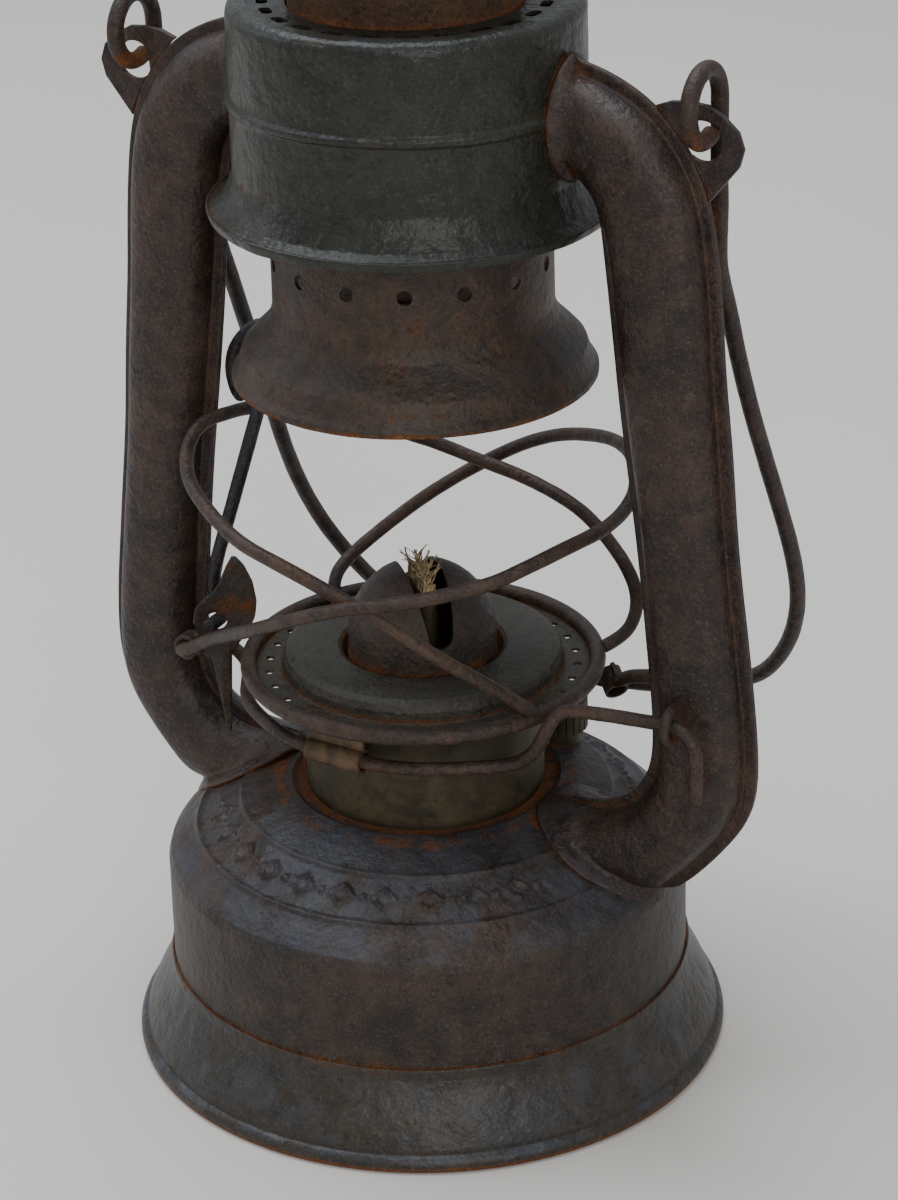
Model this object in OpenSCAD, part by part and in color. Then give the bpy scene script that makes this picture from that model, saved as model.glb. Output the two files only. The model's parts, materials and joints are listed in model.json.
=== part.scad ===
// Small hurricane lantern: round fount, two side air tubes, hood, sliding chimney,
// tilting globe carrier with crossed guard wires, flat-wick burner and swinging bail.
// Z is up, the base stands on z = 0, and X runs along the two side tubes.

/* [Fount] */
// Diameter of the rolled rim that the lantern stands on
foot_d = 125; // [124:0.5:126]
// Diameter of the drum
drum_d = 108.6; // [108:0.2:109]
// Height of the seam between the foot and the drum
drum_z = 16.9; // [16:0.1:18]
// Height where the drum turns into the shoulder
shoulder_z = 41.5; // [41:0.1:42]
// Thickness of the fount's sheet
fount_wall = 0.8; // [0.6:0.1:1]

/* [Burner] */
// Diameter of the burner cup
cup_d = 49.4; // [49:0.1:49.6]
// Direction that the flat wick and its slot run in, from +X
wick_angle = -45; // [-50:1:-40]
// Width of the flat wick
wick_w = 12; // [11:0.5:12.5]

/* [Globe carrier] */
// Diameter of the carrier ring over its wire
ring_d = 75; // [74.6:0.1:75.4]
// Radius of the carrier ring's wire
ring_wire = 1.65; // [1.5:0.05:1.7]
// Radius of the guard and lift wires
guard_wire = 1.45; // [1.2:0.05:1.45]

/* [Side tubes and bail] */
// Width of the flat flange along each tube's seam
flange_w = 2.6; // [2.2:0.1:2.8]
// Thickness of the tubes' sheet
tube_wall = 0.6; // [0.5:0.05:0.7]
// Distance of the ear holes from the middle
ear_x = 62.2; // [62:0.1:62.4]
// Height of the ear holes
ear_z = 203.2; // [203:0.1:203.4]
// Radius of the bail's wire
bail_wire = 1.75; // [1.5:0.05:1.8]

/* [Chimney and hood] */
// Diameter of the chimney's bottom flange
flange_d = 72.4; // [72:0.1:72.8]
// Diameter of the chimney
chimney_d = 55.4; // [55:0.1:55.8]
// Diameter of the flue that passes up through the hood
flue_d = 45; // [44.6:0.1:45.2]
// Diameter of the hood
hood_d = 68.8; // [68.4:0.1:69]
// Number of round draught holes in the chimney
draught_holes = 15; // [12:1:18]

/* [Hidden] */
$fn = 72;

foot_r = foot_d / 2;
drum_r = drum_d / 2;
cup_r = cup_d / 2;
chimney_r = chimney_d / 2;
flue_r = flue_d / 2;
hood_r = hood_d / 2;
sheet = 0.7;

// ---- Helpers -------------------------------------------------------------------------

function unit(v) = v / norm(v);
function reversed(p) = [for (i = [len(p) - 1:-1:0]) p[i]];

// Left-hand normal of an open 2D path at point i, scaled so that offsets keep their width
function path_normal(p, i) =
    let (
        a = unit(p[max(i, 1)] - p[max(i, 1) - 1]),
        b = unit(p[min(i, len(p) - 2) + 1] - p[min(i, len(p) - 2)]),
        n = unit([-a[1] - b[1], a[0] + b[0]])
    )
    n / (n * [-a[1], a[0]]);

// Spun sheet: a profile of [radius, height] points, thickened to its left-hand side
module spun(path, t) {
    inner = [for (i = [0:len(path) - 1]) path[i] + t * path_normal(path, i)];
    rotate_extrude() polygon(concat(path, reversed(inner)));
}

// Quarter-round or other arc of profile points
function arc(c, r, from, to, steps) =
    [for (i = [0:steps]) let (a = from + (to - from) * i / steps) c + r * [cos(a), sin(a)]];

function curve_point(a, b, c, d, u) =
    0.5 * (2 * b + (c - a) * u + (2 * a - 5 * b + 4 * c - d) * u * u
        + (3 * b - a - 3 * c + d) * u * u * u);

// Smooth curve through hand-placed points, with n steps from each to the next
function smooth(p, n) = concat(
    [for (i = [0:len(p) - 2]) for (k = [0:n - 1])
        curve_point(p[max(i - 1, 0)], p[i], p[i + 1], p[min(i + 2, len(p) - 1)], k / n)],
    [p[len(p) - 1]]);

function tangent(p, i) = unit(p[min(i + 1, len(p) - 1)] - p[max(i - 1, 0)]);
function carried_normals(p, i, last) =
    i == len(p) ? [] :
    let (t = tangent(p, i), n = unit(last - (last * t) * t))
    concat([n], carried_normals(p, i + 1, n));

// Closed skin over rings of points, each ring having the same count. A folded ring runs out
// along one side of a bent sheet and back along the other, so its ends are closed by strips.
module skin(rings, folded = false) {
    sides = len(rings[0]);
    last = len(rings) - 1;
    walls = [for (i = [0:last - 1]) for (k = [0:sides - 1])
        let (a = i * sides + k, b = i * sides + (k + 1) % sides) each [[a, b, b + sides],
            [a, b + sides, a + sides]]];
    start = folded
        ? [for (k = [0:sides / 2 - 2]) each [[k, sides - 1 - k, sides - 2 - k],
            [k, sides - 2 - k, k + 1]]]
        : [reversed([for (k = [0:sides - 1]) k])];
    finish = [for (f = start) reversed([for (k = f) k + last * sides])];
    polyhedron([for (r = rings) for (v = r) v], concat(walls, start, finish), convexity = 8);
}

// Round wire of radius r along a path
module wire(path, r, sides = 8) {
    start = abs(tangent(path, 0) * [0, 0, 1]) > 0.9 ? [1, 0, 0] : [0, 0, 1];
    n = carried_normals(path, 0, start);
    skin([for (i = [0:len(path) - 1])
        let (b = cross(tangent(path, i), n[i]))
        [for (k = [0:sides - 1])
            path[i] + r * (cos(360 * k / sides) * n[i] + sin(360 * k / sides) * b)]]);
}

// ---- Fount ---------------------------------------------------------------------------

neck_z = 57.4;
shoulder_line = [
    [drum_r, drum_z], [drum_r, shoulder_z], [drum_r - 0.6, shoulder_z + 2],
    [drum_r - 2.3, shoulder_z + 3.8], [48.7, 48], [48.2, 49], [47.2, 49], [46.6, 49.2],
    [39.2, 53.8], [38.7, 54.8], [37.7, 54.9], [37, 55.3], [31, 58.4], [29.4, 58.8],
    [28, 58.2], [27, neck_z], [22.6, neck_z]
];

// Height of the shoulder at a distance from the middle
function shoulder_at(r) = lookup(r, [for (i = [len(shoulder_line) - 1:-1:1]) shoulder_line[i]]);

module tank_shell() {
    color("#3b322c") difference() {
        spun(shoulder_line, fount_wall);
        translate([filler_x, filler_y, 50]) cylinder(r = filler_r + 0.03, h = 12);
    }
}

module tank_foot() {
    rim = 1.6;
    foot_line = [
        [foot_r - 1.4, 2.6], [foot_r - 1.6, 4.6], [foot_r - 2.4, 6.6], [foot_r - 3.8, 9.6],
        [foot_r - 5.5, 12.6], [drum_r + 1.4, 15.2], [drum_r + 0.65, drum_z + 0.4],
        [drum_r + 0.65, drum_z + 2.6]];
    color("#3f4240") {
        spun(foot_line, 0.6);
        rotate_extrude() translate([foot_r - rim - 0.4, rim]) difference() {
            union() {
                circle(r = rim + 0.4, $fn = 32);
                translate([-1.2, -rim]) square([2.4, 1]);
            }
            translate([-5, -rim - 2]) square([10, 2]);
        }
    }
}

module tank_bottom() {
    color("#3a3531") {
        rotate_extrude() polygon([
            [0, 9], [drum_r - 1.7, 9], [drum_r - 0.9, 9.8], [drum_r - 0.9, drum_z + 3],
            [drum_r - 1.6, drum_z + 3], [drum_r - 1.6, 10.2], [drum_r - 2.2, 9.7], [0, 9.7]]);
    }
}

filler_x = 15.5;
filler_y = 28.7;
filler_r = 5.4;
filler_top = 64.6;

module filler_neck() {
    color("#5a4b3a") translate([filler_x, filler_y, 0]) difference() {
        union() {
            translate([0, 0, 51]) cylinder(r = filler_r, h = filler_top - 51);
            translate([0, 0, 61]) cylinder(r = filler_r + 0.35, h = 0.6);
            translate([0, 0, 63]) cylinder(r = filler_r + 0.35, h = 0.6);
        }
        translate([0, 0, 50]) cylinder(r = filler_r - 0.7, h = 20);
    }
}

module filler_gasket() {
    color("#2a2522") translate([filler_x, filler_y, filler_top + 0.05]) difference() {
        cylinder(r = filler_r + 0.3, h = 0.8);
        translate([0, 0, -1]) cylinder(r = filler_r - 1.2, h = 3);
    }
}

module filler_cap() {
    cap_r = 6.9;
    grips = 24;
    color("#54452f") translate([filler_x, filler_y, 0]) difference() {
        union() {
            translate([0, 0, 59.4]) cylinder(r = cap_r, h = 6.6);
            translate([0, 0, 66]) cylinder(r1 = cap_r, r2 = cap_r - 0.8, h = 0.7);
        }
        translate([0, 0, 59]) cylinder(r = filler_r + 0.65, h = filler_top + 0.88 - 59);
        for (i = [0:grips - 1]) rotate([0, 0, i * 360 / grips])
            translate([cap_r + 0.15, 0, 59]) cylinder(r = 0.4, h = 6, $fn = 16);
    }
}

// ---- Burner --------------------------------------------------------------------------

collar_r = 22.4;
deck_z = 79.3;
spindle_z = 66;
spindle_r = 1;
spindle_off = 3.6;
wick_t = 2;

module burner_collar() {
    color("#6a5637") difference() {
        union() {
            translate([0, 0, 50.5]) cylinder(r = collar_r, h = 7.6);
            translate([0, 0, neck_z + 0.02]) cylinder(r = cup_r - 0.2, h = 0.7);
        }
        translate([0, 0, 50]) cylinder(r = collar_r - 0.9, h = 12);
    }
}

module burner_cup() {
    foot = neck_z + 0.75;
    color("#4d4634") difference() {
        union() {
            rotate_extrude() polygon([
                [cup_r - 0.7, foot], [cup_r, foot], [cup_r, deck_z], [cup_r - 0.7, deck_z]]);
            translate([0, 0, foot]) cylinder(r = cup_r - 0.3, h = 0.7);
            translate([0, 0, 51.5]) cylinder(r = collar_r - 0.95, h = foot - 51);
        }
        translate([0, 0, 51]) cylinder(r = collar_r - 1.7, h = foot - 51.01);
        along_wick() translate([-7.5, -2.1, 50]) cube([15, 4.2, 12]);
        translate([0, 0, 50]) for (a = [60:60:300]) rotate([0, 0, wick_angle + a])
            translate([14, 0, 0]) cylinder(r = 3.2, h = 12);
        spindle_axis() cylinder(r = 2.24, h = 40);
    }
}

module along_wick() rotate([0, 0, wick_angle]) children();

// Turns local Z into the spindle's direction, with the origin beside the wick's middle
module spindle_axis()
    along_wick() translate([0, spindle_off, spindle_z]) rotate([0, -90, 0]) children();

module burner_deck() {
    color("#35302c") difference() {
        translate([0, 0, deck_z + 0.02]) cylinder(r = cup_r - 0.1, h = 0.7);
        translate([0, 0, deck_z - 1]) cylinder(r = 13.6, h = 3);
        for (i = [0:23]) rotate([0, 0, i * 15])
            translate([20.8, 0, deck_z - 1]) cylinder(r = 1.1, h = 3, $fn = 24);
    }
}

cone_r = 15.2;
cone_line = concat(
    [[18.4, deck_z + 1.45], [16.6, deck_z + 1.45], [15.6, deck_z + 2.3], [cone_r, 90.8]],
    arc([0.2, 90.8], cone_r - 0.2, 8, 80, 8),
    [[1.5, 105.9], [0, 105.9]]);
cone_slot = [[-2.6, 95.6], [2.6, 95.6], [4.2, 107], [-4.2, 107]];

module burner_cone() {
    color("#46362d") difference() {
        spun(cone_line, sheet);
        along_wick() {
            rotate([90, 0, 90]) linear_extrude(40, center = true) polygon(cone_slot);
            translate([0, 0, 95.6]) rotate([0, 90, 0]) cylinder(r = 2.6, h = 40, center = true);
        }
    }
}

module wick_tube() {
    color("#4a3c2c") along_wick() difference() {
        translate([0, 0, 54]) linear_extrude(47) rounded_slot(wick_w + 2, wick_t + 1.8);
        translate([0, 0, 53]) linear_extrude(49) rounded_slot(wick_w + 0.8, wick_t + 0.6);
        for (x = [-3.5, 3.5])
            translate([x - 1.2, 0, spindle_z - 3.4]) cube([2.4, 4, 6.8]);
    }
}

module rounded_slot(w, t) {
    square([w - t, t], center = true);
    for (s = [-1, 1]) translate([s * (w - t) / 2, 0]) circle(d = t);
}

module wick() {
    color("#b39a6a") along_wick() translate([0, 0, 17])
        linear_extrude(91) rounded_slot(wick_w, wick_t);
}

module spindle_sleeve() {
    color("#4d4634") spindle_axis() translate([0, 0, 23]) difference() {
        cylinder(r = 2.2, h = 6);
        translate([0, 0, -1]) cylinder(r = spindle_r + 0.05, h = 8);
    }
}

module wick_spindle() {
    color("#5b534b") spindle_axis() {
        translate([0, 0, -5.5]) cylinder(r = spindle_r, h = 44.5);
        for (z = [-4.3, 2.7]) translate([0, 0, z]) star_wheel();
    }
}

module star_wheel() {
    linear_extrude(1.6) polygon([for (i = [0:19])
        (i % 2 == 0 ? 2.3 : 1.6) * [cos(i * 18), sin(i * 18)]]);
}

module wick_knob() {
    knob_r = 7.6;
    notches = 30;
    color("#4c3f33") spindle_axis() translate([0, 0, 35.8]) difference() {
        union() {
            cylinder(r = knob_r, h = 2.2);
            translate([0, 0, -1.2]) cylinder(r = 2.6, h = 4.4);
        }
        translate([0, 0, -2]) cylinder(r = spindle_r, h = 8);
        for (i = [0:notches - 1]) rotate([0, 0, i * 360 / notches])
            translate([knob_r + 0.2, 0, -1]) cylinder(r = 0.55, h = 5, $fn = 16);
    }
}

// ---- Globe carrier ---------------------------------------------------------------------

ring_z = 84.4;
hinge_x = 62;
hinge_z = 88.2;
hinge_y = 11.8;

module carrier_ring() {
    color("#40352e") translate([0, 0, ring_z]) rotate_extrude()
        translate([ring_d / 2 - ring_wire, 0]) circle(r = ring_wire, $fn = 24);
}

plate_line = [
    [34.5, 83.6], [29.2, 83.6], [28.9, 84], [28.7, 86], [28.1, 87.3], [26.8, 88.1],
    [17.4, 88.1], [16.6, 87.6], [16.2, 85]
];

module globe_plate() {
    slots = 30;
    color("#33332f") difference() {
        spun(plate_line, sheet);
        for (i = [0:slots - 1]) rotate([0, 0, i * 360 / slots])
            translate([31.6, 0, 82]) cylinder(r = 0.9, h = 3, $fn = 24);
    }
}

// Hoop that is low on the right and high on the left
guard_a_route = [
    [33, -14, 85.4], [30.3, -23, 93.5], [21.8, -31.1, 102.2], [14.8, -35, 108.2],
    [4.7, -38.2, 114.3], [-9, -39, 119.4], [-20.4, -36.6, 121.4], [-34, -28, 123.8],
    [-42, -20, 124.8], [-46, -14, 126.4], [-47.2, -9.5, 128.8], [-46.6, -5, 130.4],
    [-44.8, 0, 130.4], [-43.3, 6.5, 129.6], [-39.5, 17, 126.5], [-31, 27.5, 121.5],
    [-16.9, 34.6, 116.6], [-6.6, 37.4, 112.9], [2.7, 37.9, 111], [13.6, 35.5, 109.2],
    [21.2, 33.6, 106.6], [28, 31.5, 102], [32.7, 29.4, 98], [35, 28.4, 92.5],
    [35, 24.2, 87.6], [31.2, 20.2, 84.8]
];

// One long wire: bent end, staple, run below the ring, hairpin for the lever, second hoop
guard_b_route = [
    [67.2, -11.5, 72.5], [67.6, -11.8, 81], [66.2, -11.9, 86.6], [62, -11.8, 88.2],
    [57.5, -11.7, 88], [45, -12.6, 87.6], [39.2, -13.6, 87], [37.2, -15.6, 84.5],
    [35.3, -17, 79.5], [30.6, -17.4, 75], [22, -21.3, 74], [14, -26, 74], [5.5, -28.5, 74],
    [-4.3, -28.1, 74], [-14, -27.6, 74.2], [-22, -24.8, 75], [-29.5, -20.3, 75.8],
    [-33.8, -15, 76], [-37, -9, 76.3], [-40.3, -4.6, 77], [-44.8, -3.2, 78.8],
    [-49, -5, 80.4], [-50.5, -8, 80.7], [-50.5, -10.3, 80.7], [-50.5, -12.8, 80.8],
    [-49.2, -15, 81.8], [-46, -16.4, 83.6], [-41, -17.8, 87], [-32, -24.5, 93],
    [-20, -34.4, 100.8], [-4, -41, 109.8], [8, -41.4, 114.7], [17.1, -38.6, 116.2],
    [29.7, -29.9, 118.6], [35.2, -23.4, 120.6], [40.2, -13, 122.4], [42.6, -4, 122.6],
    [43, 5, 123], [41.6, 14, 124.6], [36, 24, 126.6], [28.5, 31.5, 126], [19.7, 37.3, 123.5],
    [10.9, 40.8, 120.7], [2.9, 42.1, 117.1], [-4.4, 42, 112.9], [-13, 40, 107.3],
    [-21, 36.4, 101.3], [-28, 31, 94.9], [-31.6, 24.6, 90.8], [-32.2, 19.6, 88.4],
    [-31.4, 17.2, 85.4]
];

rear_lift_route = [
    [67.2, 11.5, 72.5], [67.6, 11.8, 81], [66.2, 11.9, 86.6], [62, 11.8, 88.2],
    [57.5, 11.7, 87.6], [45, 12.4, 84.6], [40.4, 14, 82.8], [36.4, 17.4, 79.4],
    [31.6, 21.4, 76.4], [25, 25, 74.6], [16, 27.2, 74.2], [4, 28.8, 74], [-10, 28.6, 74],
    [-20, 25.4, 74.8], [-28, 20, 77], [-33, 13.6, 80.4], [-34.4, 9.8, 83.4]
];

module guard_wire_a() color("#43372f") wire(smooth(guard_a_route, 2), guard_wire);
module guard_wire_b() color("#463a31") wire(smooth(guard_b_route, 2), guard_wire);
module rear_lift_wire() color("#43372f") wire(smooth(rear_lift_route, 2), guard_wire);

// Strap folded round the wire, with a tab that reaches up to the plate
module wire_clip(l, tab) {
    rotate([90, 0, 90]) translate([0, 0, -l / 2]) linear_extrude(l) difference() {
        union() {
            circle(r = guard_wire + 1.05, $fn = 32);
            translate([-0.4, 1.8]) square([0.8, tab]);
        }
        circle(r = guard_wire + 0.45, $fn = 32);
    }
}

module wire_clips() {
    color("#6b5a3c") {
        translate([-4.3, -28.15, 74]) rotate([0, 0, -2]) wire_clip(13, 7.9);
        translate([33.7, 19.6, 77.7]) rotate([0, 0, -40]) rotate([0, 32, 0]) wire_clip(5, 1.6);
    }
}

lever_x = -50.5;
lever_y = -10.3;
lever_z = 80.7;
lever_turn = 32;
rod_u = 5.8;
rod_hole = [lever_x + rod_u * cos(lever_turn), lever_y + rod_u * sin(lever_turn), 86];

// Outline across the lever's plate: [distance from the barrel, height above it]
lever_outline = [
    [1.9, 2.4], [0.9, 5.4], [1.5, 8.4], [3.1, 10.4], [5.2, 11.8], [6.9, 14.2], [8.3, 17.6],
    [9.6, 19.9], [10.5, 20], [12.2, 18], [13.8, 14.4], [14.5, 10], [14.1, 6.6], [12.8, 3.4],
    [11.2, 1.2], [8.8, -2.4], [8.4, -13.7], [8, -20], [7, -20], [6.3, -15.7], [4.6, -4],
    [2, -1.7]
];

module lift_lever() {
    color("#3a3029") difference() {
        union() {
            translate([lever_x, lever_y, lever_z]) rotate([0, 0, lever_turn])
                rotate([90, 0, 0]) translate([0, 0, -0.5]) linear_extrude(1)
                    polygon(lever_outline);
            translate([lever_x, lever_y - 2, lever_z]) rotate([-90, 0, 0])
                cylinder(r = 2.8, h = 4);
        }
        translate([lever_x, lever_y - 5, lever_z]) rotate([-90, 0, 0])
            cylinder(r = guard_wire + 0.45, h = 10);
        translate(rod_hole - [0, 5, 0]) rotate([-90, 0, 0]) cylinder(r = 2, h = 10);
    }
}

rod_wire = 1.45;
pull_rod_route = [
    [-45.58, -10.2, 86], [-45.58, -7.4, 86], [-45.6, -4.9, 86.1], [-46.6, -3.5, 87.3],
    [-48.4, -3.2, 90], [-47.6, -3.3, 97], [-44, -3, 108], [-40.4, -2.8, 119.2],
    [-37.6, -0.9, 130.3], [-38.1, 5, 138], [-38.8, 9.4, 142.6], [-40, 10.8, 146.4],
    [-42.8, 8.6, 147], [-45, 4.8, 143.8], [-45, 2.6, 139.6], [-43, 0.8, 136],
    [-40.6, -1.2, 135.6]
];

module pull_rod() color("#2f2b28") wire(smooth(pull_rod_route, 2), rod_wire, 10);

// ---- Side tubes ------------------------------------------------------------------------

// Stations from the hood to the fount: outer edge x, z, inner edge x, z, half depth
tube_stations = [
    [37.2, 215.1, 36.4, 192.6, 7.3], [41, 214.3, 37.5, 191.8, 7.4],
    [47.5, 211.8, 39.7, 189.3, 7.5], [53.5, 207.8, 41, 186, 7.5], [59, 201.5, 41.7, 181, 7.5],
    [63, 194, 42.3, 175.5, 7.5], [65, 184, 43, 169, 7.5], [66.1, 173, 43.8, 161, 7.5],
    [67, 160, 44.7, 152, 7.5], [68.2, 147, 46, 142, 7.6], [69.4, 133.5, 47.3, 132, 7.6],
    [70.5, 120, 49, 120, 7.7], [72.3, 106, 50.4, 106, 7.8], [74.2, 90, 52, 90, 7.8],
    [75.3, 78, 52.9, 78, 7.9], [75, 69, 52.2, 72, 8], [72.3, 62, 50.5, 68, 8.3],
    [68, 56, 47.6, 64.3, 8.6], [63, 50, 43.5, 61.9, 9], [58.6, 45.6, 37.5, 60.4, 9.6]
];
arc_steps = 8;
arc_angles = [for (i = [0:arc_steps]) 10 + 160 * i / arc_steps];
rim_angles = concat([0, 4], arc_angles, [176, 180]);

function station_mid(s) = [s[0] + s[2], s[1] + s[3]] / 2;
function station_dir(s) = unit([s[0] - s[2], s[1] - s[3]]);
function station_half(s) = norm([s[0] - s[2], s[1] - s[3]]) / 2 - flange_w;

// Flattens a sine or cosine towards 1, which squares a half round section
function squared(v) = sign(v) * pow(abs(v), 0.75);

// Pressed sheet of one half, on the -Y side of the seam: flange, channel, flange
function half_ring(s) =
    let (
        m = station_mid(s), d = station_dir(s), w = station_half(s), t = tube_wall,
        face = [
            [w + flange_w, t], [w + 0.01, t],
            for (a = arc_angles) [w * squared(cos(a)), t + (s[4] - t) * squared(sin(a))],
            [-w - 0.01, t], [-w - flange_w, t]],
        back = [
            [w + flange_w, 0], [w - t, 0],
            for (a = arc_angles) [(w - t) * squared(cos(a)), (s[4] - t) * squared(sin(a))],
            [t - w, 0], [-w - flange_w, 0]],
        fold = concat(face, reversed(back))
    )
    [for (f = fold) let (q = m + f[0] * d) [q[0], -0.01 - f[1], q[1]]];

// Collar that lies against the hood round the tube's end
function collar_ring(mid_z, half_z, half_y, off) =
    let (
        rim = [for (a = rim_angles) [-0.01 - half_y * sin(a), mid_z + half_z * cos(a)]],
        face = [for (q = rim) [sqrt(pow(off + tube_wall, 2) - q[0] * q[0]), q[0], q[1]]],
        back = [for (q = rim) [sqrt(off * off - q[0] * q[0]), q[0], q[1]]]
    )
    concat(face, reversed(back));

// Apron that spreads over the fount's shoulder round the tube's foot
function apron_ring(mid_x, half_x, half_y, lift) =
    let (
        rim = [for (a = rim_angles) [mid_x + half_x * cos(a), -0.01 - half_y * sin(a)]],
        face = [for (q = rim) [q[0], q[1], shoulder_at(norm(q)) + lift + tube_wall]],
        back = [for (q = rim) [q[0], q[1], shoulder_at(norm(q)) + lift]]
    )
    concat(face, reversed(back));

module tube_half() skin(concat(
    [collar_ring(204, 12.4, 8.9, hood_r + 0.75)],
    [for (s = tube_stations) half_ring(s)],
    [apron_ring(42.4, 11.6, 9.9, 1.3), apron_ring(41.2, 13.6, 13.7, 0.1)]), folded = true);

// Lugs that stand out from the flanges, with the holes that carry the bail
module bail_ears() {
    edge = [[52.4, 208.7], [53.5, 207.8], [59, 201.5], [63, 194], [63.5, 191.6]];
    lobe = [[67.3, 196.4], [69.4, 199], [70.3, 202.4], [69.2, 205.6], [66.3, 208.2],
        [63, 210], [59.3, 210.3], [55.5, 209.9]];
    color("#3a2e27") for (side = [0, 1]) mirror([side, 0, 0])
        translate([0.03, tube_wall, 0.03]) rotate([90, 0, 0]) linear_extrude(2 * tube_wall)
            difference() {
                polygon(concat(edge, lobe));
                translate([ear_x - 0.03, ear_z - 0.03]) circle(r = 3.9);
            }
}

module tube_right_front() color("#3c2f28") tube_half();
module tube_right_rear() color("#3c2f28") mirror([0, 1, 0]) tube_half();
module tube_left_front() color("#33302c") mirror([1, 0, 0]) tube_half();
module tube_left_rear() color("#33302c") mirror([1, 0, 0]) mirror([0, 1, 0]) tube_half();

module staple() {
    loop_r = guard_wire + 1.7;
    wire_r = 1;
    translate([hinge_x, -hinge_y, hinge_z]) {
        rotate([0, 90, 0]) rotate([0, 0, 180]) rotate_extrude(angle = 180)
            translate([loop_r, 0]) circle(r = wire_r, $fn = 24);
        for (s = [-1, 1]) translate([0, 0, s * loop_r]) rotate([-90, 0, 0])
            cylinder(r = wire_r, h = 5.2, $fn = 24);
    }
}

module wire_staples() {
    color("#4a3d34") {
        staple();
        mirror([0, 1, 0]) staple();
    }
}

module shoe_rivets() {
    color("#4a382d") for (sx = [-1, 1]) for (sy = [-1, 1])
        translate([sx * 36.4, sy * 10, 54.6]) rotate([sy * -8, sx * 29, 0])
            cylinder(r = 2.3, h = 1.7);
}

// ---- Hood, chimney and cap ---------------------------------------------------------------

hood_foot = 183.1;
hood_crown = 223.7;

hood_line = concat(
    [[39.2, hood_foot + 0.8], [39, hood_foot], [36.9, 184.7], [35.5, 187.2],
     [hood_r, 190.6], [hood_r, 203.6], [hood_r + 0.7, 204.4], [hood_r + 0.7, 205.4],
     [hood_r, 206.2]],
    arc([hood_r - 2.4, hood_crown - 2.4], 2.4, 0, 90, 4),
    [[hood_r - 4.2, hood_crown]]);

module hood_shell() color("#3d403c") spun(hood_line, sheet);

module hood_top() {
    slots = 24;
    slot_r = 27.2;
    color("#34332f") difference() {
        translate([0, 0, hood_crown - 1.5]) cylinder(r = hood_r - 1.45, h = 0.75);
        translate([0, 0, hood_crown - 3]) cylinder(r = flue_r + 0.4, h = 5);
        for (i = [0:slots - 1]) rotate([0, 0, i * 360 / slots]) {
            translate([slot_r, 0, hood_crown - 3])
                linear_extrude(5) rotate([0, 0, 90]) rounded_slot(4.4, 2.2);
        }
    }
}

chimney_line = concat(
    [[flange_d / 2 - 1.6, 148.6], [flange_d / 2 - 0.7, 147.5], [flange_d / 2, 147.6],
     [flange_d / 2 + 0.1, 148.8], [flange_d / 2 - 0.8, 149.9], [34.4, 152.4], [34, 153.8],
     [32.4, 155.6], [30.3, 157.6], [28.6, 159.7], [chimney_r, 162.4], [chimney_r, 185.6]],
    arc([chimney_r - 1.6, 185.6], 1.6, 30, 90, 2),
    [[flue_r - 0.1, 187.2]]);

module chimney() {
    color("#3f342d") difference() {
        spun(chimney_line, sheet);
        for (i = [0:draught_holes - 1]) rotate([0, 0, (i + 0.35) * 360 / draught_holes])
            translate([0, 0, 172.7]) rotate([0, 90, 0])
                translate([0, 0, 20]) cylinder(r = 1.5, h = 12, $fn = 24);
    }
}

module flue() {
    vents = 12;
    color("#6b3f26") difference() {
        translate([0, 0, 187.25]) cylinder(r = flue_r, h = 55.3);
        translate([0, 0, 186]) cylinder(r = flue_r - sheet, h = 60);
        for (i = [0:vents - 1]) rotate([0, 0, i * 360 / vents])
            translate([15, 0, 234]) rotate([0, 90, 0])
                linear_extrude(12) rounded_slot(5, 4.4);
    }
}

module chimney_spring() {
    turns = 4.5;
    per_turn = 14;
    coil_r = 25.4;
    low = 188.4;
    pitch = (hood_crown - 2.6 - low) / turns;
    color("#57504a") wire(
        [for (i = [0:turns * per_turn]) let (a = 360 * i / per_turn)
            [coil_r * cos(a), coil_r * sin(a), low + pitch * i / per_turn]],
        0.55, 6);
}

cap_line = concat(
    [[27.6, 237.2], [28, 236.5], [28.4, 237.2], [27.8, 239.4], [26, 241.6], [24, 242.7]],
    [[20, 244.4], [15, 246.6], [10, 248.2], [5, 249.2], [0.01, 249.5]]);

module top_cap() {
    color("#4a3327") difference() {
        rotate_extrude() polygon(concat(
            cap_line,
            [[0, 248.8], [5, 248.5], [10, 247.5], [15, 245.9], [20, 243.7], [23.8, 242],
             [25.5, 241], [27.1, 239.1]]));
    }
}

eye_z = 251.3;

module cap_eye() {
    color("#4a3f36") {
        translate([0, 0, eye_z]) rotate([0, 90, 0]) rotate_extrude()
            translate([2.3, 0]) circle(r = 0.8, $fn = 24);
    }
}

module top_ring() {
    loop_r = 10.5;
    color("#453a32") translate([0, 0, eye_z]) rotate([-14.5, 0, 0]) translate([0, loop_r, 0])
        rotate_extrude() translate([loop_r, 0]) circle(r = 1.15, $fn = 24);
}

// ---- Bail ----------------------------------------------------------------------------------

eye_r = 6.8;
bail_eye_z = ear_z - 0.2 + eye_r;
eye_end = 296;
eye_steps = 20;

// One side of the bail, from the middle of the wire up to the eye
bail_side = [
    [17, 71.4, 50], [32, 69.6, 54.4], [43, 67.2, 59.4], [49.5, 64.4, 65], [56, 59.6, 75.4],
    [60, 53.7, 88.1], [61, 46.9, 102.6], [60, 38.5, 120.7], [58.8, 27.5, 144.3],
    [58.8, 18.6, 165], [59.4, 13, 175], [61.2, 9.4, 186], [62, 7.2, 199]
];
bail_eye = [for (i = [0:eye_steps]) let (a = eye_end * i / eye_steps)
    [ear_x, eye_r * cos(a), bail_eye_z + eye_r * sin(a)]];
bail_half = concat(smooth(concat(bail_side, [[ear_x, eye_r, bail_eye_z]]), 2), [
    for (i = [1:eye_steps]) bail_eye[i]]);

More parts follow.
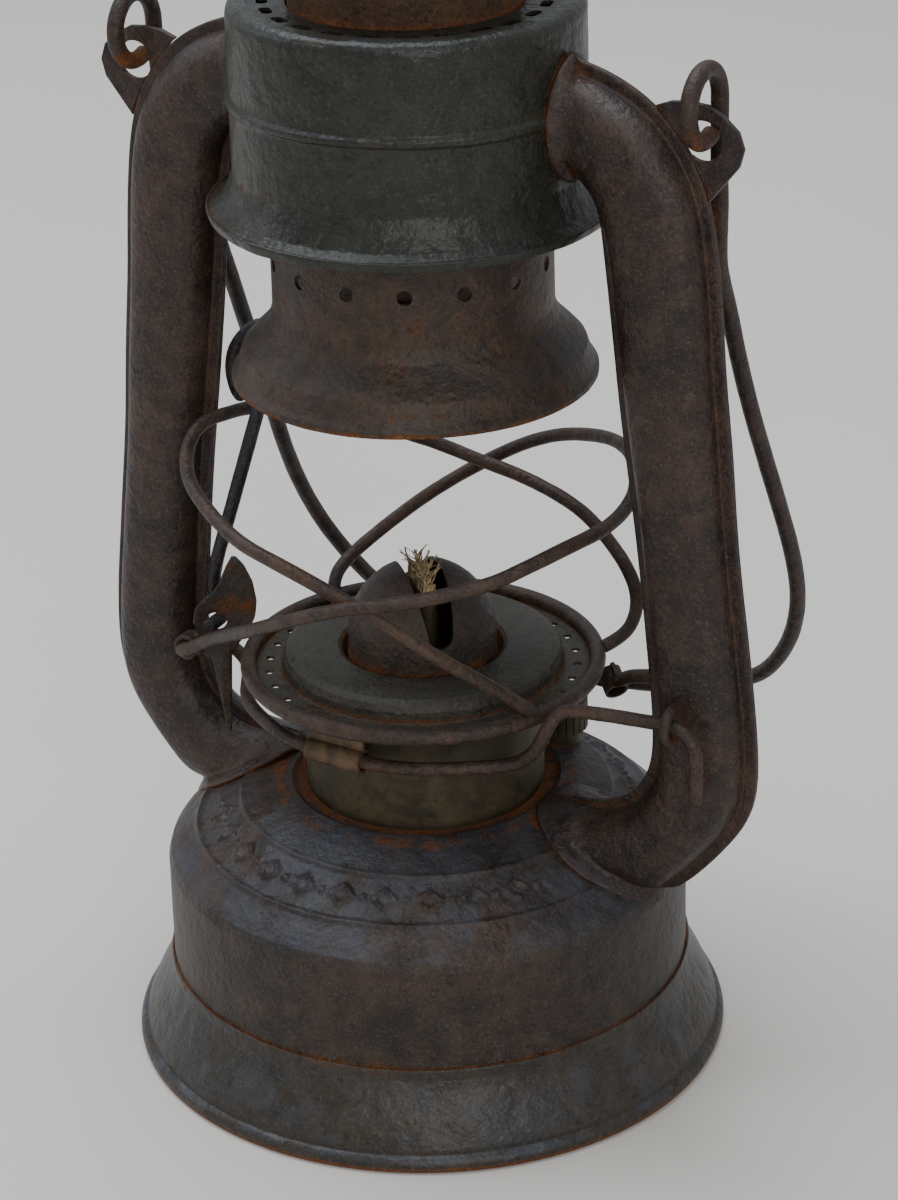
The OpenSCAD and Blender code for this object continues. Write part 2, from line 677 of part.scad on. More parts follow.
module bail() {
    other = [for (v = bail_half) [-v[0], v[1], v[2]]];
    color("#3b332d") wire(concat(reversed(bail_half), [[0, 72.2, 48.2]], other), bail_wire, 10);
}

// ---- Nodes -----------------------------------------------------------------------------------

tank_shell();
tank_foot();
tank_bottom();
burner_collar();
filler_neck();
filler_cap();
filler_gasket();
burner_cup();
burner_deck();
burner_cone();
wick_tube();
wick();
spindle_sleeve();
wick_spindle();
wick_knob();
carrier_ring();
globe_plate();
guard_wire_a();
guard_wire_b();
rear_lift_wire();
wire_clips();
lift_lever();
pull_rod();
tube_right_front();
tube_right_rear();
tube_left_front();
tube_left_rear();
bail_ears();
wire_staples();
shoe_rivets();
hood_shell();
hood_top();
chimney();
flue();
chimney_spring();
top_cap();
cap_eye();
top_ring();
bail();
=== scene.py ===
import json
import math
import random

import bmesh
import bpy
from mathutils import Matrix, Vector, noise


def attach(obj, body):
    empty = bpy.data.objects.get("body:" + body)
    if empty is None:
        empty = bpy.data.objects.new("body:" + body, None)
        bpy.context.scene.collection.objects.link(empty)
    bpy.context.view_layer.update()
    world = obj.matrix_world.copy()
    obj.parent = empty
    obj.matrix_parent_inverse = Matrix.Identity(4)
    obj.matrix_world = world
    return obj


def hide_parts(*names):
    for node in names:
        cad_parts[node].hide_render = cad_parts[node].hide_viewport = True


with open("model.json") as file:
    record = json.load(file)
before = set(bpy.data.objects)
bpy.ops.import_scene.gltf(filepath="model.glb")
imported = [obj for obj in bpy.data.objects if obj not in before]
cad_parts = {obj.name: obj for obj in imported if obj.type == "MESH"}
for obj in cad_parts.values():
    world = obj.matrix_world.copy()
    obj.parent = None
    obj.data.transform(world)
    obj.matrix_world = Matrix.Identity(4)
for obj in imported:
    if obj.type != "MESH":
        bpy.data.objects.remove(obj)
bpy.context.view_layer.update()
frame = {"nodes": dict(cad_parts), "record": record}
MM = 0.001
BODIES = frame["record"]["behaviour"]["bodies"]
BODY_OF = {node: body for body, members in BODIES.items() for node in members}
SLOT_OF = {s["node"]: s["material_slot"] for s in frame["record"]["subparts"]}
MATERIALS = {}


# ---- Camera, floor and light ---------------------------------------------------------------

CAMERA_PLACE = (0.3228, -0.5590, 0.4000)
CAMERA_TURN = (29.51, 25.13, 1.298)  # azimuth, downward pitch and roll, in degrees
CAMERA_LENS, CAMERA_SENSOR = 105, 36
LIGHT_AIM = Vector((0, 0, 0.11))
SKY_COLOUR, SKY_STRENGTH = (0.94, 0.965, 1.0, 1), 0.47
FLOOR_SIZE = 6


def make_camera():
    azimuth, pitch, roll = (math.radians(turn) for turn in CAMERA_TURN)
    forward = Vector((-math.sin(azimuth) * math.cos(pitch),
                      math.cos(azimuth) * math.cos(pitch), -math.sin(pitch)))
    data = bpy.data.cameras.new("camera")
    data.lens, data.sensor_width = CAMERA_LENS, CAMERA_SENSOR
    cam = bpy.data.objects.new("camera", data)
    cam.rotation_mode = "QUATERNION"
    look = forward.to_track_quat("-Z", "Y").to_matrix()
    cam.rotation_quaternion = (look @ Matrix.Rotation(-roll, 3, "Z")).to_quaternion()
    cam.location = CAMERA_PLACE
    bpy.context.scene.collection.objects.link(cam)
    bpy.context.scene.camera = cam


def area_light(name, place, size, power, colour):
    data = bpy.data.lights.new(name, "AREA")
    data.shape, data.size, data.energy, data.color = "DISK", size, power, colour
    lamp = bpy.data.objects.new(name, data)
    lamp.location = place
    lamp.rotation_mode = "QUATERNION"
    lamp.rotation_quaternion = (LIGHT_AIM - Vector(place)).to_track_quat("-Z", "Y")
    bpy.context.scene.collection.objects.link(lamp)


def make_studio():
    world = bpy.data.worlds.new("studio")
    world.use_nodes = True
    sky = world.node_tree.nodes["Background"]
    sky.inputs["Color"].default_value = SKY_COLOUR
    sky.inputs["Strength"].default_value = SKY_STRENGTH
    bpy.context.scene.world = world
    area_light("overhead", (-0.35, 0.10, 1.35), size=1.3, power=17, colour=(0.93, 0.96, 1.0))
    area_light("front", (0.85, -1.05, 0.70), size=0.9, power=6.5, colour=(1.0, 0.95, 0.89))
    area_light("left", (-1.1, -0.35, 0.6), size=0.6, power=1.5, colour=(0.92, 0.95, 1.0))
    bpy.ops.mesh.primitive_plane_add(size=FLOOR_SIZE)
    floor = bpy.context.object
    floor.name = "floor"
    paint = Graph("floor_paint")
    grain = paint.noise(6, 3)
    paint.finish(paint.mix(grain, (0.66, 0.64, 0.61), (0.72, 0.70, 0.67)), 0.85, 0.0)
    floor.data.materials.append(paint.material)


# ---- Materials -------------------------------------------------------------------------------

class Graph:
    """Builds one material from a few kinds of nodes. Lengths are in metres."""

    def __init__(self, name):
        self.material = bpy.data.materials.new(name)
        self.material.use_nodes = True
        self.tree = self.material.node_tree
        self.shader = self.tree.nodes["Principled BSDF"]
        self.place = self.tree.nodes.new("ShaderNodeTexCoord")

    def set(self, socket, value):
        if isinstance(value, bpy.types.NodeSocket):
            self.tree.links.new(value, socket)
        elif isinstance(value, tuple) and len(value) == 3 and socket.type == "RGBA":
            socket.default_value = (*value, 1)
        else:
            socket.default_value = value

    def coords(self, stretch=(1, 1, 1)):
        scaled = self.tree.nodes.new("ShaderNodeMapping")
        self.set(scaled.inputs["Vector"], self.place.outputs["Object"])
        self.set(scaled.inputs["Scale"], stretch)
        return scaled.outputs["Vector"]

    def noise(self, scale, detail=5, rough=0.6, warp=0.0, stretch=(1, 1, 1)):
        node = self.tree.nodes.new("ShaderNodeTexNoise")
        self.set(node.inputs["Vector"], self.coords(stretch))
        for key, value in (("Scale", scale), ("Detail", detail), ("Roughness", rough),
                           ("Distortion", warp)):
            node.inputs[key].default_value = value
        return node.outputs["Fac"]

    def height(self, axis="Z"):
        node = self.tree.nodes.new("ShaderNodeSeparateXYZ")
        self.set(node.inputs[0], self.place.outputs["Object"])
        return node.outputs[axis]

    def upward(self):
        node = self.tree.nodes.new("ShaderNodeSeparateXYZ")
        self.set(node.inputs[0], self.place.outputs["Normal"])
        return node.outputs["Z"]

    def crevice(self, reach):
        """1 in corners and folds, 0 on open faces; reach is in millimetres."""
        node = self.tree.nodes.new("ShaderNodeAmbientOcclusion")
        node.samples = 6
        node.inputs["Distance"].default_value = reach * MM
        return self.ramp(node.outputs["AO"], 0.80, 0.38)

    def ramp(self, value, low, high, to=1.0, start=0.0):
        node = self.tree.nodes.new("ShaderNodeMapRange")
        node.interpolation_type = "SMOOTHSTEP"
        for key, v in (("Value", value), ("From Min", low), ("From Max", high),
                       ("To Min", start), ("To Max", to)):
            self.set(node.inputs[key], v)
        return node.outputs["Result"]

    def math(self, kind, a, b=0.0):
        node = self.tree.nodes.new("ShaderNodeMath")
        node.operation = kind
        self.set(node.inputs[0], a)
        self.set(node.inputs[1], b)
        return node.outputs[0]

    def mix(self, share, a, b):
        node = self.tree.nodes.new("ShaderNodeMix")
        node.data_type = "RGBA"
        self.set(node.inputs["Factor"], share)
        self.set(node.inputs[6], a)
        self.set(node.inputs[7], b)
        return node.outputs[2]

    def bump(self, height, depth, before=None):
        node = self.tree.nodes.new("ShaderNodeBump")
        node.inputs["Distance"].default_value = depth
        self.set(node.inputs["Height"], height)
        if before is not None:
            self.set(node.inputs["Normal"], before)
        return node.outputs["Normal"]

    def finish(self, colour, roughness, metallic, normal=None):
        self.set(self.shader.inputs["Base Color"], colour)
        self.set(self.shader.inputs["Roughness"], roughness)
        self.set(self.shader.inputs["Metallic"], metallic)
        if normal is not None:
            self.set(self.shader.inputs["Normal"], normal)
        return self.material


BLACK = (0.008, 0.007, 0.006)
ORANGE = (0.25, 0.085, 0.020)


def aged_steel(name, dark, brown, sheen_colour, sheen_share=0.3, rust_share=0.3, rough=0.42,
               grain=0.00042, bands=(), crease=0.30, rust=ORANGE):
    """Old lacquered sheet: brown and black mottling, pebbled skin, painted glint flecks, a
    painted blue-grey sky sheen on the faces that look up, and orange rust in the creases.
    bands are (height, half width, strength) of more rust along seams, in millimetres."""
    g = Graph(name)
    patch = g.noise(48, 4, 0.6, 0.4)
    mottle = g.noise(240, 8, 0.78, 0.2)
    speck = g.noise(1500, 3, 0.8)
    tone = g.math("ADD", g.math("MULTIPLY", mottle, 0.65), g.math("MULTIPLY", patch, 0.35))
    colour = g.mix(g.ramp(tone, 0.40, 0.62), dark, brown)
    colour = g.mix(g.ramp(g.noise(480, 7, 0.8), 0.50, 0.64, 0.75), colour, BLACK)
    # painted glints: flecks of the sheen colour stand in for sky highlights on the pebbled skin
    colour = g.mix(g.ramp(speck, 0.53, 0.68, 0.55), colour, sheen_colour)
    # painted sheen: faces that look up are lightened towards the sheen colour, a painted
    # reflection of the sky
    painted_sheen = g.math("MULTIPLY", g.ramp(g.upward(), 0.0, 0.95),
                  g.ramp(g.noise(75, 7, 0.7, 0.5), 0.38, 0.64))
    colour = g.mix(g.math("MULTIPLY", painted_sheen, sheen_share), colour, sheen_colour)
    attack = g.math("ADD", tone, g.math("MULTIPLY", g.crevice(4), crease))
    for z, half, strength in bands:
        off = g.math("ABSOLUTE", g.math("SUBTRACT", g.height(), z * MM))
        attack = g.math("ADD", attack, g.ramp(off, half * MM, 0.0, strength))
    low = 0.70 - 0.18 * rust_share
    eaten = g.ramp(attack, low, low + 0.15)
    tint = g.mix(g.ramp(speck, 0.35, 0.65), tuple(c * 0.38 for c in rust), rust)
    colour = g.mix(g.math("MULTIPLY", eaten, 0.85), colour, tint)
    gloss = g.ramp(g.math("ADD", eaten, g.math("MULTIPLY", mottle, 0.5)), 0.1, 1.2, 0.9, rough)
    skin = g.math("ADD", g.math("MULTIPLY", g.noise(820, 3, 0.6), 0.8),
                  g.math("MULTIPLY", speck, 0.2))
    normal = g.bump(g.math("ADD", skin, g.math("MULTIPLY", eaten, 0.25)), grain)
    normal = g.bump(g.noise(280, 3, 0.5), 0.0006, normal)
    g.set(g.shader.inputs["Specular IOR Level"], 0.38)
    g.set(g.shader.inputs["Specular Tint"], (0.88, 0.94, 1.0, 1.0))
    return g.finish(colour, gloss, 0.15, normal)


def brass(name, dark, light, rough=0.45):
    g = Graph(name)
    blotch = g.noise(60, 6, 0.65, 0.8)
    colour = g.mix(g.ramp(blotch, 0.38, 0.64), dark, light)
    colour = g.mix(g.ramp(g.noise(420, 7, 0.75), 0.50, 0.70, 0.7), colour, (0.018, 0.014, 0.009))
    # painted shade: the brass is darkened towards dark brown in its crevices, where shade falls
    colour = g.mix(g.math("MULTIPLY", g.crevice(3), 0.7), colour, (0.030, 0.019, 0.010))
    normal = g.bump(g.noise(1000, 5, 0.65), 0.00012)
    return g.finish(colour, g.ramp(blotch, 0.3, 0.7, 0.72, rough), 0.45, normal)


def make_materials():
    """One material for each slot named in the record."""
    slate = (0.075, 0.088, 0.112)
    grey = (0.070, 0.074, 0.076)
    moss = (0.055, 0.060, 0.046)
    return {
        "fount_steel": aged_steel(
            "fount_paint", dark=(0.022, 0.014, 0.010), brown=(0.062, 0.037, 0.022),
            sheen_colour=slate, sheen_share=0.50, rust_share=0.25,
            bands=[(18.5, 6, 0.15), (57.4, 1.5, 0.20)]),
        "foot_steel": aged_steel(
            "foot_paint", dark=(0.028, 0.024, 0.018), brown=(0.056, 0.041, 0.027),
            sheen_colour=slate, sheen_share=0.62, rust_share=0.12, rough=0.34, grain=0.00026,
            bands=[(0.5, 3, 0.12), (19, 1.5, 0.16)]),
        "base_steel": aged_steel(
            "base_rust", dark=(0.030, 0.020, 0.014), brown=(0.08, 0.040, 0.020),
            sheen_colour=moss, rust_share=0.8),
        "tube_steel": aged_steel(
            "tube_paint", dark=(0.022, 0.014, 0.011), brown=(0.070, 0.039, 0.025),
            sheen_colour=(0.090, 0.090, 0.096), sheen_share=0.45, rust_share=0.32, rough=0.40),
        "hood_steel": aged_steel(
            "hood_paint", dark=(0.018, 0.019, 0.014), brown=(0.037, 0.033, 0.022),
            sheen_colour=(0.062, 0.070, 0.072), sheen_share=0.45, rust_share=0.10, rough=0.30,
            grain=0.00022, bands=[(190.5, 3.0, 0.13), (184.5, 1.5, 0.10)]),
        "chimney_steel": aged_steel(
            "chimney_paint", dark=(0.029, 0.018, 0.012), brown=(0.082, 0.046, 0.026),
            sheen_colour=grey, sheen_share=0.45, rust_share=0.38, rough=0.45,
            bands=[(147.8, 1.5, 0.24), (167, 4, 0.10), (151.5, 2.0, 0.12)]),
        "flue_steel": aged_steel(
            "flue_rust", dark=(0.050, 0.028, 0.016), brown=(0.13, 0.060, 0.027),
            sheen_colour=(0.12, 0.085, 0.060), rust_share=0.75, rough=0.65),
        "cap_steel": aged_steel(
            "cap_rust", dark=(0.030, 0.021, 0.017), brown=(0.075, 0.042, 0.026),
            sheen_colour=moss, rust_share=0.40, bands=[(237, 1.5, 0.12)]),
        "plate_steel": aged_steel(
            "plate_paint", dark=(0.040, 0.037, 0.028), brown=(0.068, 0.058, 0.041),
            sheen_colour=(0.075, 0.078, 0.070), sheen_share=0.35, rust_share=0.20, rough=0.5,
            bands=[(84.2, 0.8, 0.20)]),
        "cone_steel": aged_steel(
            "cone_browned", dark=(0.036, 0.025, 0.019), brown=(0.078, 0.052, 0.037),
            sheen_colour=grey, sheen_share=0.30, rust_share=0.25, rough=0.5, grain=0.00050),
        "wire_steel": aged_steel(
            "wire_rust", dark=(0.030, 0.018, 0.013), brown=(0.095, 0.052, 0.032),
            sheen_colour=(0.080, 0.074, 0.074), sheen_share=0.30, rust_share=0.65, rough=0.48,
            crease=0.15),
        "rod_steel": aged_steel(
            "rod_paint", dark=(0.012, 0.011, 0.011), brown=(0.030, 0.022, 0.018),
            sheen_colour=slate, sheen_share=0.5, rust_share=0.1, rough=0.40),
        "bail_steel": aged_steel(
            "bail_rust", dark=(0.024, 0.016, 0.012), brown=(0.064, 0.038, 0.025),
            sheen_colour=(0.066, 0.063, 0.066), sheen_share=0.30, rust_share=0.50, rough=0.48,
            bands=[(204, 7, 0.16)]),
        "lever_steel": aged_steel(
            "lever_rust", dark=(0.024, 0.018, 0.013), brown=(0.062, 0.038, 0.023),
            sheen_colour=grey, sheen_share=0.3, rust_share=0.9, rough=0.42, bands=[(90, 5, 0.08)]),
        "spring_steel": aged_steel(
            "spring_rust", dark=(0.05, 0.042, 0.034), brown=(0.12, 0.09, 0.065),
            sheen_colour=(0.18, 0.17, 0.15)),
        "spindle_steel": aged_steel(
            "spindle_worn", dark=(0.05, 0.044, 0.037), brown=(0.12, 0.10, 0.085),
            sheen_colour=(0.18, 0.17, 0.16)),
        "burner_brass": brass(
            "burner_tarnish", dark=(0.034, 0.028, 0.016), light=(0.088, 0.069, 0.036)),
        "clip_brass": brass(
            "clip_tarnish", dark=(0.060, 0.038, 0.021), light=(0.170, 0.108, 0.060)),
        "wick_cotton": wick_cotton(),
        "gasket_rubber": gasket_rubber(),
    }


def wick_cotton():
    g = Graph("wick_cotton")
    weave = g.noise(2200, 3, 0.6, 0.0, (1, 1, 0.3))
    colour = g.mix(g.ramp(weave, 0.38, 0.62), (0.24, 0.15, 0.06), (0.62, 0.51, 0.30))
    char = g.ramp(g.math("ADD", g.height(), g.math("MULTIPLY", g.noise(500), 0.006)),
                  0.1075, 0.1125, 0.85)
    colour = g.mix(char, colour, (0.050, 0.022, 0.009))
    return g.finish(colour, 0.95, 0.0, g.bump(weave, 0.0004))


def gasket_rubber():
    g = Graph("gasket_rubber")
    colour = g.mix(g.noise(500), (0.018, 0.016, 0.015), (0.045, 0.040, 0.036))
    return g.finish(colour, 0.8, 0.0, g.bump(g.noise(1200), 0.0001))


# ---- Mesh tools --------------------------------------------------------------------------------

def place_piece(obj, *nodes):
    """Gives a finished piece its CAD nodes' body, slot and material, and hides those nodes."""
    slot = SLOT_OF[nodes[0]]
    obj.data.materials.clear()
    obj.data.materials.append(MATERIALS[slot])
    for face in obj.data.polygons:
        face.material_index = 0
    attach(obj, BODY_OF[nodes[0]])
    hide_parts(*nodes)
    return obj


def new_object(name, mesh):
    obj = bpy.data.objects.new(name, mesh)
    bpy.context.scene.collection.objects.link(obj)
    return obj


def apply_modifiers(obj):
    bpy.context.view_layer.update()
    depsgraph = bpy.context.evaluated_depsgraph_get()
    done = bpy.data.meshes.new_from_object(obj.evaluated_get(depsgraph))
    obj.modifiers.clear()
    obj.data = done


def smooth_by_angle(obj, degrees):
    for face in obj.data.polygons:
        face.use_smooth = True
    obj.data.set_sharp_from_angle(angle=math.radians(degrees))


def rounded_copy(node, grow, rough, waves):
    """Subdivided copy of a faceted CAD piece, swollen by grow millimetres to its true size and
    roughened by up to rough millimetres, in waves per metre."""
    mesh = frame["nodes"][node].data.copy()
    bm = bmesh.new()
    bm.from_mesh(mesh)
    bmesh.ops.remove_doubles(bm, verts=bm.verts, dist=2e-6)
    bmesh.ops.join_triangles(bm, faces=bm.faces, angle_face_threshold=math.radians(30),
                             angle_shape_threshold=math.radians(60))
    crease = bm.edges.layers.float.get("crease_edge") or bm.edges.layers.float.new("crease_edge")
    for edge in bm.edges:
        if edge.is_manifold and edge.calc_face_angle() > math.radians(50):
            edge[crease] = 0.75
    bm.to_mesh(mesh)
    bm.free()
    obj = new_object(node + "_detail", mesh)
    sub = obj.modifiers.new("round", "SUBSURF")
    sub.levels = 2
    apply_modifiers(obj)
    mesh = obj.data
    normals = [v.normal.copy() for v in mesh.vertices]
    for v, n in zip(mesh.vertices, normals):
        v.co += n * (grow * MM + rough * MM * noise.noise(v.co * waves))
    smooth_by_angle(obj, 50)
    return place_piece(obj, node)


def dress_frame():
    for node, obj in frame["nodes"].items():
        obj.data.materials.clear()
        obj.data.materials.append(MATERIALS[SLOT_OF[node]])
        for face in obj.data.polygons:
            face.material_index = 0
            face.use_smooth = True
        obj.data.set_sharp_from_angle(angle=math.radians(32))


# ---- Spun sheets -------------------------------------------------------------------------------

def seam_section(node):
    """Closed section of a spun CAD piece as (radius, height), read where its mesh meets +X."""
    mesh = frame["nodes"][node].data
    key = {v.index: (round(v.co.x, 5), round(v.co.z, 5)) for v in mesh.vertices
           if abs(v.co.y) < 2e-6 and v.co.x > 0}
    links = {p: set() for p in key.values()}
    for edge in mesh.edges:
        a, b = (key.get(i) for i in edge.vertices)
        if a and b and a != b:
            links[a].add(b)
            links[b].add(a)
    ends = [p for p in links if len(links[p]) == 1] or [min(links)]
    path, left = [ends[0]], set(links) - {ends[0]}
    while left:
        here = path[-1]
        ready = ([p for p in links[here] if p in left] or [p for p in ends if p in left]
                 or list(left))
        path.append(min(ready, key=lambda p: math.dist(p, here)))
        left.discard(path[-1])
    return [Vector(p) for p in path]


def filleted(points, radius):
    """Rounds each corner of a closed section, by no more than its shorter side allows."""
    out = []
    for i, here in enumerate(points):
        before, after = points[i - 1] - here, points[(i + 1) % len(points)] - here
        a = before.normalized() * min(radius, 0.45 * before.length)
        b = after.normalized() * min(radius, 0.45 * after.length)
        if a.angle(b) > math.radians(172):
            out.append(here)
        else:
            out += [here + a * (1 - t) ** 2 + b * t ** 2 for t in (0, 0.25, 0.5, 0.75, 1)]
    return out


def refined(points, step):
    """Splits each side of a closed section into parts no longer than step."""
    out = []
    for i, here in enumerate(points):
        after = points[(i + 1) % len(points)]
        parts = max(1, math.ceil((after - here).length / step))
        out += [here.lerp(after, k / parts) for k in range(parts)]
    return out


def spun_piece(node, turns, step, radius=0.3, dent=0.10, relief=None, cut_by=None):
    """Fine copy of a spun CAD piece, with worn corners, slight dents and an optional relief.
    step, radius and dent are in millimetres; turns is the number of steps round the axis."""
    dent_waves, ripple_waves, ripple_share = 45, 170, 0.35
    section = refined(filleted(seam_section(node), radius * MM), step * MM)
    count = len(section)
    tangents = [(section[(i + 1) % count] - section[i - 1]).normalized() for i in range(count)]
    area = sum(section[i - 1].x * section[i].y - section[i].x * section[i - 1].y
               for i in range(count))
    sign = 1 if area > 0 else -1
    verts = []
    for k in range(turns):
        angle = 2 * math.pi * k / turns
        c, s = math.cos(angle), math.sin(angle)
        for p, t in zip(section, tangents):
            normal = Vector((t.y, -t.x)) * sign
            place = Vector((p.x * c, p.x * s, p.y))
            push = dent * noise.noise(place * dent_waves)
            push += ripple_share * dent * noise.noise(place * ripple_waves)
            push *= rise(p.y / MM, 0.3, 4)  # the foot's rim stays flat on the floor
            if relief and normal.y > 0:
                push += relief(angle, p.x / MM)
            verts.append(place + Vector((normal.x * c, normal.x * s, normal.y)) * push * MM)
    faces = [(k * count + i, k * count + (i + 1) % count,
              (k + 1) % turns * count + (i + 1) % count, (k + 1) % turns * count + i)
             for k in range(turns) for i in range(count)]
    mesh = bpy.data.meshes.new(node + "_detail")
    mesh.from_pydata(verts, [], faces)
    if sign < 0:
        mesh.flip_normals()
    obj = new_object(node + "_detail", mesh)
    if cut_by:
        cutter = new_object("cutter", cut_by)
        knife = obj.modifiers.new("holes", "BOOLEAN")
        knife.object, knife.operation, knife.solver = cutter, "DIFFERENCE", "EXACT"
        apply_modifiers(obj)
        bpy.data.objects.remove(cutter)
    smooth_by_angle(obj, 40)
    return place_piece(obj, node)


def rise(value, low, high):
    """0 at low, 1 at high, and smooth between them."""
    t = min(1.0, max(0.0, (value - low) / (high - low)))
    return t * t * (3 - 2 * t)


BAND_RADIUS, BAND_HALF = 42.9, 4
BAND_SLOPE = 1.18  # length along the shoulder for each millimetre of radius
BAND_PITCH = math.radians(12)
BAND_RELIEF = 0.65
LOZENGE_LENGTH, LOZENGE_WIDTH = 3.5, 2.9  # half sizes
DOT_RADIUS, DOT_TOP = 1.1, 0.5


def ornament(angle, radius):
    """Height in millimetres of the lozenges and dots that run round the shoulder's band."""
    up = (radius - BAND_RADIUS) * BAND_SLOPE
    if abs(up) > BAND_HALF:
        return 0.0
    beside_tubes = rise(abs(math.sin(angle)), 0.42, 0.50)
    along = math.remainder(angle, BAND_PITCH) * BAND_RADIUS
    lozenge = abs(along) / LOZENGE_LENGTH + abs(up) / LOZENGE_WIDTH
    raised = rise(lozenge, 1.0, 0.82) - 0.9 * rise(lozenge, 0.66, 0.46)
    to_dot = math.remainder(angle + BAND_PITCH / 2, BAND_PITCH) * BAND_RADIUS
    raised += rise(math.hypot(to_dot, up), DOT_RADIUS, DOT_TOP)
    return BAND_RELIEF * raised * beside_tubes


DRAUGHT_HOLES, DRAUGHT_START = 15, 0.35  # count, and the first hole's place in steps from +X
DRAUGHT_RADIUS, DRAUGHT_HEIGHT, DRAUGHT_HOLE = 26, 172.7, 1.5


def draught_cutter():
    """Pins that cut the chimney's row of draught holes."""
    bm = bmesh.new()
    out = Matrix.Translation((DRAUGHT_RADIUS * MM, 0, DRAUGHT_HEIGHT * MM))
    for i in range(DRAUGHT_HOLES):
        turn = Matrix.Rotation(math.radians(360 / DRAUGHT_HOLES * (i + DRAUGHT_START)), 4, "Z")
        place = turn @ out @ Matrix.Rotation(math.pi / 2, 4, "Y")
        bmesh.ops.create_cone(bm, cap_ends=True, segments=20, radius1=DRAUGHT_HOLE * MM,
                              radius2=DRAUGHT_HOLE * MM, depth=12 * MM, matrix=place)
    mesh = bpy.data.meshes.new("draught_cutter")
    bm.to_mesh(mesh)
    bm.free()
    return mesh


def make_sheets():
    spun_piece("tank_shell", turns=600, step=0.6, relief=ornament)
    spun_piece("tank_foot", turns=220, step=1.5, dent=0.25)
    spun_piece("hood_shell", turns=220, step=1.5, dent=0.30)
    spun_piece("chimney", turns=220, step=1.2, dent=0.20, cut_by=draught_cutter())


# ---- Wires, tubes and small pieces -------------------------------------------------------------

def make_wires():
    for node, grow in (("guard_wire_a", 0.10), ("guard_wire_b", 0.10), ("rear_lift_wire", 0.10),
                       ("pull_rod", 0.07), ("bail", 0.08)):
        rounded_copy(node, grow, rough=0.06, waves=260)


def make_tubes():
    for node in ("tube_right_front", "tube_right_rear", "tube_left_front", "tube_left_rear"):
        rounded_copy(node, grow=0.05, rough=0.12, waves=60)


def worn_copy(node, bevel=0.3, voxel=0.0, bend=None):
    """Copy of a CAD piece with its corners worn round by a bevel, or by a fine remesh if voxel
    is given, and bent by a function if there is one. Sizes are in millimetres."""
    mesh = frame["nodes"][node].data.copy()
    bm = bmesh.new()
    bm.from_mesh(mesh)
    bmesh.ops.remove_doubles(bm, verts=bm.verts, dist=2e-6)
    bmesh.ops.dissolve_limit(bm, angle_limit=math.radians(3), verts=bm.verts, edges=bm.edges)
    bm.to_mesh(mesh)
    bm.free()
    obj = new_object(node + "_detail", mesh)
    if voxel:
        remesh = obj.modifiers.new("remesh", "REMESH")
        remesh.mode, remesh.voxel_size = "VOXEL", voxel * MM
        soften = obj.modifiers.new("soften", "SMOOTH")
        soften.factor, soften.iterations = 0.5, 4
    else:
        edge = obj.modifiers.new("edge", "BEVEL")
        edge.width, edge.segments, edge.angle_limit = bevel * MM, 3, math.radians(40)
    apply_modifiers(obj)
    if bend:
        for v in obj.data.vertices:
            v.co = bend(v.co)
    smooth_by_angle(obj, 45)
    return place_piece(obj, node)


LEVER_AT = (-50.5, -10.3, 80.7)
LEVER_TURN = math.radians(32)
LEAF_MIDDLE, LEAF_HALF, LEAF_DISH = 7.7, 6.8, 0.8
RIB_MIDDLE, RIB_HEIGHT = 7.4, 0.6
LEAF_BACK = 0.2


def make_lever():
    """The leaf is dished: its sides stand out towards the front of its middle."""
    x, y, z = LEVER_AT
    along = Vector((math.cos(LEVER_TURN), math.sin(LEVER_TURN), 0))
    out = Vector((math.sin(LEVER_TURN), -math.cos(LEVER_TURN), 0))

    def dish(p):
        side = (p - Vector((x, y, z)) * MM).dot(along) / MM
        up = p.z / MM - z
        bowl = ((side - LEAF_MIDDLE) / LEAF_HALF) ** 2 * rise(up, 0, 6) * rise(side, -0.5, 2.5)
        rib = RIB_HEIGHT * rise(abs(side - RIB_MIDDLE), 2.6, 0.6) * rise(up, 2, -4)
        return p + out * (LEAF_DISH * bowl + rib - LEAF_BACK) * MM

    worn_copy("lift_lever", voxel=0.28, bend=dish)


WICK_TURN = Matrix.Rotation(math.radians(-45), 4, "Z")
YARN_ROWS, YARN_PITCH, YARN_RADIUS, YARN_SPLAY = 7, 1.8, 0.95, 0.25
TUFT_STRANDS, TUFT_SPLAY = 70, 3.4


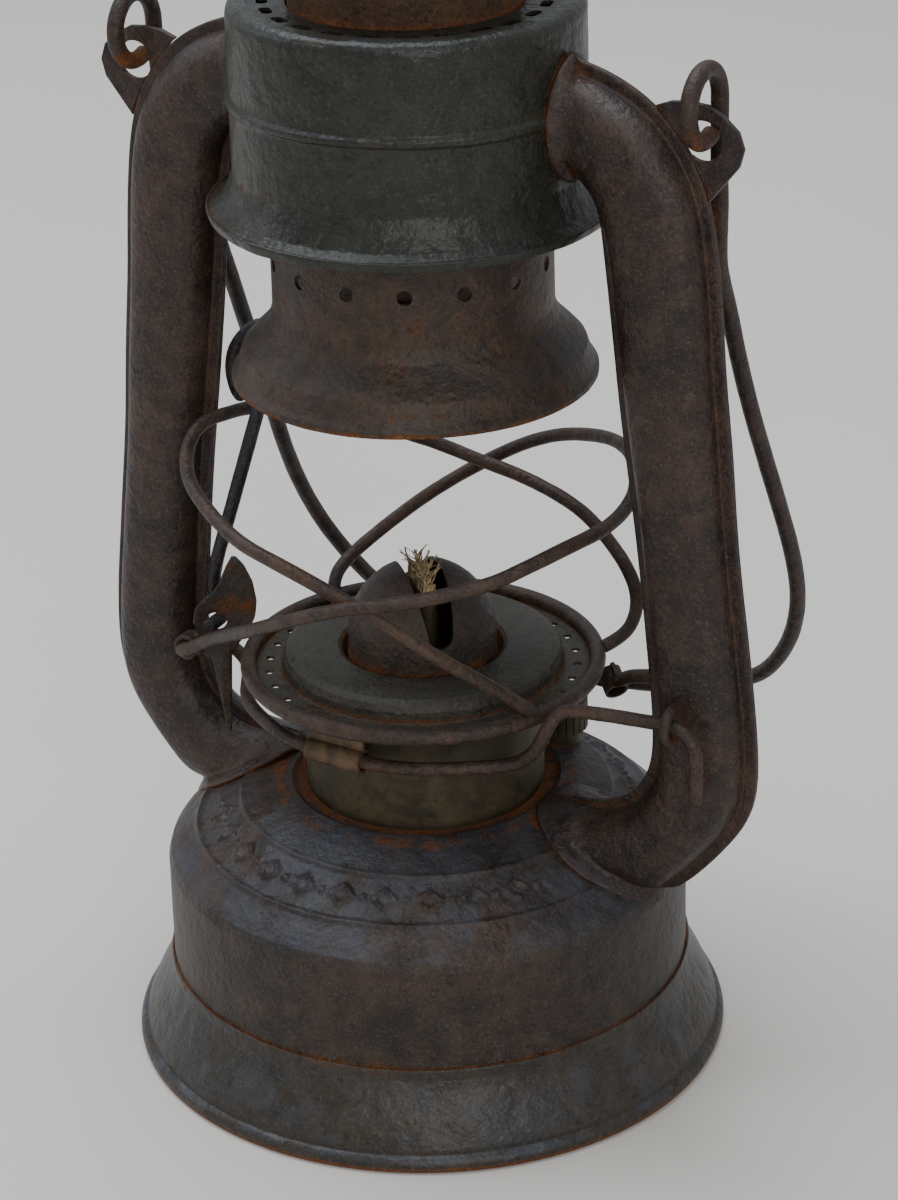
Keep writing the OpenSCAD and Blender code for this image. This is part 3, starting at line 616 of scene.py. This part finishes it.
def make_wick():
    """Woven strap with a frayed and charred tuft on top. Sizes are in millimetres."""
    rng = random.Random(11)
    bm = bmesh.new()
    for row in range(YARN_ROWS):
        for side in (0.55, -0.55):
            start = (-5.4 + YARN_PITCH * row, side)
            strand(bm, rng, start, 92, 103, YARN_RADIUS, YARN_SPLAY)
    for _ in range(TUFT_STRANDS):
        start = (rng.uniform(-5.0, 5.0), rng.uniform(-0.8, 0.8))
        top, radius = rng.uniform(104.5, 108.4), rng.uniform(0.16, 0.34)
        strand(bm, rng, start, 101.5, top, radius, TUFT_SPLAY)
    mesh = bpy.data.meshes.new("wick_detail")
    bm.to_mesh(mesh)
    bm.free()
    obj = new_object("wick_detail", mesh)
    smooth_by_angle(obj, 60)
    place_piece(obj, "wick")


def strand(bm, rng, start, low, high, radius, splay):
    """One yarn from low to high that leans out by splay, with a curl at its tip."""
    steps, sides = 9, 6
    lean = Vector((rng.uniform(-0.5, 0.5), rng.uniform(-1, 1), 0)) * splay
    curl = rng.uniform(0, 2 * math.pi)
    rings = []
    for i in range(steps + 1):
        t = i / steps
        wave = 0.16 * splay * Vector((math.cos(curl + 5 * t), math.sin(curl + 5 * t), 0)) * t
        p = Vector((start[0], start[1], low + (high - low) * t)) + lean * t ** 2.2 + wave
        p.z -= 0.25 * splay * max(0.0, t - 0.8) * 5 * rng.uniform(0, 0.5)
        r = radius * (1 - 0.5 * t * min(splay, 1))
        around = [p + Vector((r * math.cos(a), r * math.sin(a), 0))
                  for a in (2 * math.pi * k / sides for k in range(sides))]
        rings.append([bm.verts.new(WICK_TURN @ q * MM) for q in around])
    for a, b in zip(rings, rings[1:]):
        for k in range(sides):
            bm.faces.new((a[k], a[(k + 1) % sides], b[(k + 1) % sides], b[k]))
    bm.faces.new(reversed(rings[0]))
    bm.faces.new(rings[-1])


make_camera()
MATERIALS.update(make_materials())
make_studio()
dress_frame()
make_sheets()
make_wires()
make_tubes()
worn_copy("bail_ears")
worn_copy("shoe_rivets", bevel=0.6)
make_lever()
make_wick()
